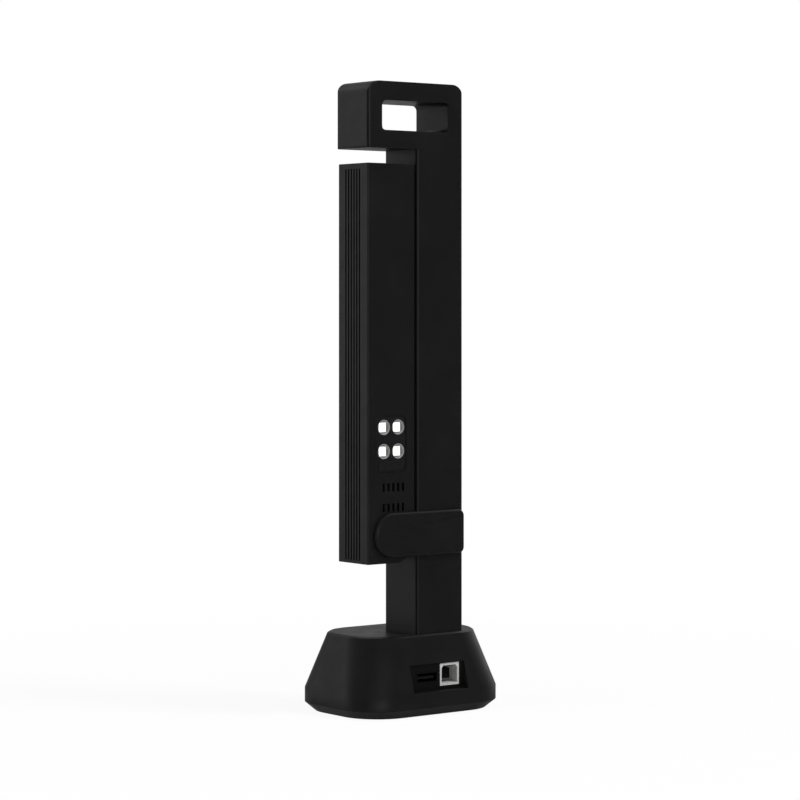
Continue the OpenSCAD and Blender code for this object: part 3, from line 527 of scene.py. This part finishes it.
def screw_tree(name):
    """A screw at each point of a mesh, its head and shank along -Z under the point, with a cross recess."""
    tree = bpy.data.node_groups.new(name, "GeometryNodeTree")
    face = tree.interface
    face.new_socket("Geometry", in_out="INPUT", socket_type="NodeSocketGeometry")
    for size in ("Head radius", "Head height", "Shank radius", "Shank length", "Cross width", "Cross span",
                 "Cross depth"):
        face.new_socket(size, in_out="INPUT", socket_type="NodeSocketFloat")
    face.new_socket("Facing", in_out="INPUT", socket_type="NodeSocketVector")
    face.new_socket("Finish", in_out="INPUT", socket_type="NodeSocketMaterial")
    face.new_socket("Geometry", in_out="OUTPUT", socket_type="NodeSocketGeometry")
    nodes, links = tree.nodes, tree.links
    given = nodes.new("NodeGroupInput")
    made = nodes.new("NodeGroupOutput")

    def bar(radius, depth, sides):
        """A round bar of a radius and length."""
        rod = nodes.new("GeometryNodeMeshCylinder")
        rod.inputs["Vertices"].default_value = sides
        links.new(given.outputs[radius], rod.inputs["Radius"])
        links.new(given.outputs[depth], rod.inputs["Depth"])
        return rod.outputs["Mesh"]

    def lowered(mesh, depth):
        """Moves a bar down so that its top is at zero."""
        half = nodes.new("ShaderNodeMath")
        half.operation = "MULTIPLY"
        half.inputs[1].default_value = -0.5
        links.new(given.outputs[depth], half.inputs[0])
        offset = nodes.new("ShaderNodeCombineXYZ")
        links.new(half.outputs[0], offset.inputs["Z"])
        move = nodes.new("GeometryNodeTransform")
        links.new(mesh, move.inputs["Geometry"])
        links.new(offset.outputs["Vector"], move.inputs["Translation"])
        return move.outputs["Geometry"]

    def wing(across, along):
        """One wing of the cross recess, centred on the head's face."""
        size = nodes.new("ShaderNodeCombineXYZ")
        links.new(given.outputs[across], size.inputs["X"])
        links.new(given.outputs[along], size.inputs["Y"])
        deep = nodes.new("ShaderNodeMath")
        deep.operation = "MULTIPLY"
        deep.inputs[1].default_value = 2.0
        links.new(given.outputs["Cross depth"], deep.inputs[0])
        links.new(deep.outputs[0], size.inputs["Z"])
        block = nodes.new("GeometryNodeMeshCube")
        links.new(size.outputs["Vector"], block.inputs["Size"])
        return block.outputs["Mesh"]

    recess = nodes.new("GeometryNodeMeshBoolean")
    recess.operation = "DIFFERENCE"
    recess.solver = "EXACT"
    links.new(lowered(bar("Head radius", "Head height", 40), "Head height"), recess.inputs["Mesh 1"])
    links.new(wing("Cross width", "Cross span"), recess.inputs["Mesh 2"])
    links.new(wing("Cross span", "Cross width"), recess.inputs["Mesh 2"])
    whole = nodes.new("GeometryNodeJoinGeometry")
    links.new(recess.outputs["Mesh"], whole.inputs["Geometry"])
    shank = nodes.new("GeometryNodeTransform")
    links.new(lowered(bar("Shank radius", "Shank length", 24), "Shank length"), shank.inputs["Geometry"])
    below = nodes.new("ShaderNodeCombineXYZ")
    down = nodes.new("ShaderNodeMath")
    down.operation = "MULTIPLY"
    down.inputs[1].default_value = -1.0
    links.new(given.outputs["Head height"], down.inputs[0])
    links.new(down.outputs[0], below.inputs["Z"])
    links.new(below.outputs["Vector"], shank.inputs["Translation"])
    links.new(shank.outputs["Geometry"], whole.inputs["Geometry"])
    facing = nodes.new("FunctionNodeAlignRotationToVector")
    facing.axis = "Z"
    links.new(given.outputs["Facing"], facing.inputs["Vector"])
    repeat = nodes.new("GeometryNodeInstanceOnPoints")
    links.new(given.outputs["Geometry"], repeat.inputs["Points"])
    links.new(whole.outputs["Geometry"], repeat.inputs["Instance"])
    links.new(facing.outputs["Rotation"], repeat.inputs["Rotation"])
    real = nodes.new("GeometryNodeRealizeInstances")
    links.new(repeat.outputs["Instances"], real.inputs["Geometry"])
    paint = nodes.new("GeometryNodeSetMaterial")
    links.new(real.outputs["Geometry"], paint.inputs["Geometry"])
    links.new(given.outputs["Finish"], paint.inputs["Material"])
    links.new(paint.outputs["Geometry"], made.inputs["Geometry"])
    return tree


def screws_at(name, places, facing, length, finish):
    """Screws whose head faces are at the places, and whose heads look along facing."""
    mesh = bpy.data.meshes.new(name)
    mesh.from_pydata(places, [], [])
    piece = run_tree(name, screw_set, mesh, {
        "Head radius": HEAD_R, "Head height": HEAD_H, "Shank radius": SCREW_R, "Shank length": length,
        "Cross width": CROSS_W, "Cross span": CROSS_SPAN, "Cross depth": CROSS_DEPTH, "Facing": facing,
        "Finish": finish})
    edge = piece.modifiers.new("rolled_edge", "BEVEL")
    edge.width = ROLLED_EDGE
    edge.segments = 2
    edge.limit_method = "ANGLE"
    edge.angle_limit = math.radians(50)
    return set_shape(piece)


def plated_steel(name, colour, rough, metal=1.0):
    """Plated steel: fine turning marks and a slightly cloudy gloss; a satin plate is less of a mirror."""
    finish, nodes, links, main = shader(name, colour, rough, metal)
    cloud = noise(nodes, links, scale=700.0, detail=4.0)
    links.new(spread_over(nodes, links, cloud, rough - 0.08, rough + 0.1), main.inputs["Roughness"])
    links.new(blend_colours(nodes, links, cloud, tuple(0.8 * c for c in colour), colour),
              main.inputs["Base Color"])
    marks = noise(nodes, links, scale=5000.0, detail=2.0)
    raise_grain(nodes, links, main, marks, strength=0.15, height=0.00003)
    return finish


screw_set = screw_tree("cross_head_screws")
zinc = plated_steel("zinc_plate", (0.42, 0.42, 0.43), rough=0.36)
screws_low, screws_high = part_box("base_screws")
closing_places = [(x, y, screws_low[2])
                  for x in (screws_low[0] + HEAD_R, screws_high[0] - HEAD_R)
                  for y in (screws_low[1] + HEAD_R, screws_high[1] - HEAD_R)]
closing_screws = screws_at("closing_screws", closing_places, (0.0, 0.0, -1.0),
                           screws_high[2] - screws_low[2] - HEAD_H, zinc)
fit(closing_screws, zinc, "stand", "fastener_steel", "base_screws")


# A cast iron block inside the base keeps the scanner from tipping when the arm is out,
# and the green board beside it carries the two sockets. Both are closed in.
def bring(node, finish):
    """Gives a carried-over node its material."""
    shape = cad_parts[node].data
    shape.materials.clear()
    shape.materials.append(finish)


raw_iron = plated_steel("raw_iron", (0.20, 0.20, 0.205), rough=0.62)
bring("ballast_weight", raw_iron)
board_green, board_nodes, board_links, board_main = shader("board_green", (0.01, 0.09, 0.035), rough=0.4)
board_tracks = noise(board_nodes, board_links, scale=420.0, detail=1.0, stretch=(1.0, 3.0, 1.0))
board_drift = spread_over(board_nodes, board_links, board_tracks, 0.0, 1.0)
board_shade = blend_colours(board_nodes, board_links, board_drift, (0.008, 0.07, 0.028), (0.016, 0.13, 0.05))
board_links.new(board_shade, board_main.inputs["Base Color"])
raise_grain(board_nodes, board_links, board_main, board_tracks, strength=0.3, height=0.00005)
bring("port_board", board_green)

# The square socket is a folded nickel-plated shell round a black tongue; the flat one has a dark shell.
# Both are soldered to the board and look out through the recess.
nickel = plated_steel("bright_nickel", (0.56, 0.556, 0.545), rough=0.35, metal=0.1)
square = eased_copy("square_socket", "square_port_shell", 0.2)
fit(square, nickel, "stand", "socket_nickel", "square_socket")
dark_plate = plated_steel("dark_plate", (0.03, 0.03, 0.031), rough=0.45)
flat_port = eased_copy("flat_socket", "flat_port_shell", 0.12)
fit(flat_port, dark_plate, "stand", "socket_dark", "flat_socket")
tongue_black = moulded_plastic("tongue_black", (0.003, 0.003, 0.003), rough=0.6, specular=0.08,
                               skin_strength=0.2)
square_tongue = eased_copy("square_socket_tongue", "square_port_tongue", 0.25)
fit(square_tongue, tongue_black, "stand", "tongue_plastic", "square_socket_tongue")
flat_tongue = eased_copy("flat_socket_tongue", "flat_port_tongue", 0.15)
tongue_grey = moulded_plastic("tongue_grey", (0.006, 0.006, 0.0062), rough=0.5, specular=0.15,
                              skin_strength=0.2)
fit(flat_tongue, tongue_grey, "stand", "tongue_plastic", "flat_socket_tongue")

# The upright is moulded in two halves: a deep body with the carrying handle, bolted to the base from inside,
# and a thin front cover that is screwed on from the back. A fine groove shows where they meet.
SEAM_EASE = 0.06
BODY_EASE = 0.35
LAMP_FACE_EASE = 0.5
SHADOW_LINE = 0.3
GRIP_BOX = ((-29.4, 285.7), (12.2, 300.2))
GRIP_ROUND = 2.7
GRIP_RIM = 1.7
GRIP_MARGIN = 3.0
LEFT_LEAN = 1.1
cover_low, cover_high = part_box("upright_cover")
cover_front = cover_low[1] / MM
cover_back = cover_high[1] / MM


def body_ease(middle):
    """The body's edges are eased, but for the tight joint with its cover."""
    return SEAM_EASE if middle.y < cover_back + 0.1 else BODY_EASE


def cover_ease(middle):
    """The cover's lamp face has eased edges; the shadow line and the joint behind it stay crisp."""
    return SEAM_EASE if middle.y > cover_front + SHADOW_LINE else LAMP_FACE_EASE


def dish_grip_rim(form):
    """Draws the grip opening's right and lower rim outwards on the lamp face, so that it slopes inwards."""
    low = [edge + GRIP_ROUND for edge in GRIP_BOX[0]]
    high = [edge - GRIP_ROUND for edge in GRIP_BOX[1]]
    for vert in form.verts:
        x, y, z = vert.co / MM
        inside = Vector((min(max(x, low[0]), high[0]), min(max(z, low[1]), high[1])))
        away = Vector((x, z)) - inside
        if abs(y - cover_front) < NEARLY and abs(away.length - GRIP_ROUND) < 0.05:
            away = away.normalized() * GRIP_RIM * MM
            vert.co.x += max(0.0, away.x)
            vert.co.z += min(0.0, away.y)


def lean_left_edge(form):
    """Leans the lamp face's edges on the arm's side back to the shadow line, so that they catch the light."""
    for vert in form.verts:
        x, y, z = vert.co / MM
        by_grip = all(low - GRIP_MARGIN < at < high + GRIP_MARGIN for at, low, high in zip((x, z), *GRIP_BOX))
        if abs(y - cover_front) < NEARLY and not by_grip:
            outward = sum((face.normal for face in vert.link_faces if face.normal.y > -0.5), Vector())
            outward.y = 0.0
            if outward.length > 0.1:
                outward.normalize()
                vert.co -= outward * max(0.0, -outward.x) * LEFT_LEAN * MM


def shape_lamp_face(form):
    """The two changes to the rim of the upright's lamp face."""
    dish_grip_rim(form)
    form.normal_update()
    lean_left_edge(form)


upright = eased_copy("upright_body", "upright_back_half", body_ease)
fit(upright, shell_plastic, "stand", "black_plastic", "upright_body")
front_cover = eased_copy("upright_cover", "upright_front_cover", cover_ease, shape_lamp_face)
fit(front_cover, shell_plastic, "stand", "black_plastic", "upright_cover")
bring("upright_bolts", zinc)
MIDDLE_SCREW_Z = 188.275 * MM
screws_low, screws_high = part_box("cover_screws")
cover_places = [((screws_low[0] + screws_high[0]) / 2, screws_high[1], z)
                for z in (screws_low[2] + HEAD_R, MIDDLE_SCREW_Z, screws_high[2] - HEAD_R)]
cover_screws = screws_at("cover_fixing_screws", cover_places, (0.0, 1.0, 0.0),
                         screws_high[1] - screws_low[1] - HEAD_H, zinc)
fit(cover_screws, zinc, "stand", "fastener_steel", "cover_screws")

# The hinge plate is a thick round-ended moulding, screwed to the upright from behind.
# The hinge pin is pressed into its round end and carries the arm between washers and a nut.
PLATE_END_EASE = 0.9
PLATE_EASE = 0.1
PLATE_END_DEPTH = 1.5
PLATE_END_REACH = 4.0
plate_low, plate_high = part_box("hinge_plate")
plate_end = plate_high[0] / MM
plate_front = plate_low[1] / MM


def plate_ease(middle):
    """The plate's square end is rounded off towards the face; its edges on the upright stay tight."""
    if middle.y < plate_front + PLATE_END_DEPTH and middle.x > plate_end - PLATE_END_REACH:
        return PLATE_END_EASE
    return PLATE_EASE


hinge_cover = eased_copy("hinge_plate", "hinge_front_plate", plate_ease)
fit(hinge_cover, shell_plastic, "stand", "black_plastic", "hinge_plate")
screws_low, screws_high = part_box("hinge_screws")
hinge_places = [(x, screws_high[1], (screws_low[2] + screws_high[2]) / 2)
                for x in (screws_low[0] + HEAD_R, screws_high[0] - HEAD_R)]
hinge_fixings = screws_at("hinge_fixing_screws", hinge_places, (0.0, 1.0, 0.0),
                          screws_high[1] - screws_low[1] - HEAD_H, zinc)
fit(hinge_fixings, zinc, "stand", "fastener_steel", "hinge_screws")
for hinge_metal in ("hinge_pin", "spring_washer", "hinge_nut"):
    bring(hinge_metal, zinc)
acetal, acetal_nodes, acetal_links, acetal_main = shader("natural_acetal", (0.6, 0.58, 0.52), rough=0.4)
acetal_cloud = noise(acetal_nodes, acetal_links, scale=500.0)
acetal_shade = blend_colours(acetal_nodes, acetal_links, acetal_cloud, (0.54, 0.52, 0.47), (0.64, 0.62, 0.57))
acetal_links.new(acetal_shade, acetal_main.inputs["Base Color"])
bring("friction_washer", acetal)

# The arm is a deep moulded trough with grooves along its outer side, a flat front cover and an end cap.
# Its parts are screwed together from the back, and a round cap closes the pocket of the hinge nut.
JOINT_EASE = 0.05
TROUGH_EASE = 0.2
LONG_CORNER_EASE = 0.5
FRONT_EDGE_EASE = 0.35
END_CAP_EASE = 0.4
arm_left, arm_face = (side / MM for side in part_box("arm_body")[0][:2])
front_left, front_face = (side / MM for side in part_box("arm_cover")[0][:2])
cap_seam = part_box("arm_end_cap")[0][2] / MM


def arm_ease(middle):
    """The trough's edges are eased, most at the long corner beside the lamp face; its joints are tight."""
    if abs(middle.z - cap_seam) < 0.5:
        return JOINT_EASE
    if middle.y < arm_face + 0.2:
        return LONG_CORNER_EASE if middle.x < arm_left + 1.0 else JOINT_EASE
    return TROUGH_EASE


def arm_front_ease(middle):
    """The cover's long left edge catches the light; its other edges lie tight against their neighbours."""
    outer = middle.x < front_left + 0.3 and middle.y < front_face + 0.3
    return FRONT_EDGE_EASE if outer else SEAM_EASE


def arm_end_ease(middle):
    """The end cap is rounded off above, and tight where it meets the trough."""
    return JOINT_EASE if middle.z < cap_seam + 0.5 else END_CAP_EASE


arm = eased_copy("arm_body", "arm_trough", arm_ease)
fit(arm, shell_plastic, "arm", "black_plastic", "arm_body")
arm_front = eased_copy("arm_cover", "arm_front_cover", arm_front_ease)
fit(arm_front, shell_plastic, "arm", "black_plastic", "arm_cover")
arm_end = eased_copy("arm_end_cap", "arm_top_cap", arm_end_ease)
fit(arm_end, shell_plastic, "arm", "black_plastic", "arm_end_cap")
nut_cap = eased_copy("hinge_cap", "hinge_nut_cap", 0.3)
fit(nut_cap, shell_plastic, "arm", "black_plastic", "hinge_cap")
screws_low, screws_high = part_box("arm_screws")
arm_places = [(x, screws_high[1], z)
              for x in (screws_low[0] + HEAD_R, screws_high[0] - HEAD_R)
              for z in (screws_low[2] + HEAD_R, screws_high[2] - HEAD_R)]
arm_fixings = screws_at("arm_fixing_screws", arm_places, (0.0, 1.0, 0.0),
                        screws_high[1] - screws_low[1] - HEAD_H, zinc)
fit(arm_fixings, zinc, "arm", "fastener_steel", "arm_screws")
bring("arm_board", board_green)

# The lamp panel is a separate moulding let into the arm's cover. Four silvered bowls are pressed into it,
# each with a white lamp chip on its floor, on a small board behind.
panel_plastic = moulded_plastic("panel_plastic", (0.0075, 0.0075, 0.0078), rough=0.42, specular=0.22,
                                skin_strength=0.2)
panel = eased_copy("lamp_panel", "lamp_frame", 0.08)
fit(panel, panel_plastic, "arm", "black_plastic", "lamp_panel")
silvered = plated_steel("silvered_bowl", (0.32, 0.32, 0.32), rough=0.5, metal=0.3)
bowls = eased_copy("lamp_reflectors", "lamp_bowls", 0.1)
fit(bowls, silvered, "arm", "reflector_silver", "lamp_reflectors")
CHIP_GLOW = 0.55
chip_white, chip_nodes, chip_links, chip_main = shader("lamp_chip_white", (0.93, 0.92, 0.88), rough=0.35)
chip_speckle = noise(chip_nodes, chip_links, scale=2500.0, detail=2.0)
chip_shade = blend_colours(chip_nodes, chip_links, chip_speckle, (0.90, 0.89, 0.84), (0.96, 0.95, 0.92))
chip_links.new(chip_shade, chip_main.inputs["Base Color"])
chip_main.inputs["Emission Color"].default_value = (1.0, 0.99, 0.96, 1.0)
chip_main.inputs["Emission Strength"].default_value = CHIP_GLOW
chips = eased_copy("lamp_emitters", "lamp_chips", 0.12)
fit(chips, chip_white, "arm", "emitter_white", "lamp_emitters")
bring("lamp_board", board_green)

# The camera looks out through a smoked gloss window at the foot of the lamp panel, with its lens behind.
# A small speaker with a woven face sits behind the sound slots.
smoked, smoked_nodes, smoked_links, smoked_main = shader(
    "smoked_window", (0.008, 0.008, 0.0085), rough=0.3, specular=0.25)
smoked_film = noise(smoked_nodes, smoked_links, scale=250.0, detail=4.0)
smoked_gloss = spread_over(smoked_nodes, smoked_links, smoked_film, 0.26, 0.36)
smoked_links.new(smoked_gloss, smoked_main.inputs["Roughness"])
window = eased_copy("camera_window", "camera_front_window", 0.1)
fit(window, smoked, "arm", "window_black", "camera_window")
coated_glass, glass_nodes, glass_links, glass_main = shader("coated_glass", (0.02, 0.02, 0.03), rough=0.05)
glass_tint = noise(glass_nodes, glass_links, scale=300.0, detail=1.0)
glass_shade = blend_colours(glass_nodes, glass_links, glass_tint, (0.015, 0.015, 0.03), (0.03, 0.02, 0.035))
glass_links.new(glass_shade, glass_main.inputs["Base Color"])
bring("camera_lens", coated_glass)
speaker_cloth, cloth_nodes, cloth_links, cloth_main = shader(
    "speaker_cloth", (0.006, 0.006, 0.006), rough=0.9, specular=0.1)
cloth_weave = noise(cloth_nodes, cloth_links, scale=3000.0, detail=1.0)
raise_grain(cloth_nodes, cloth_links, cloth_main, cloth_weave, strength=0.6, height=0.0001)
bring("speaker", speaker_cloth)
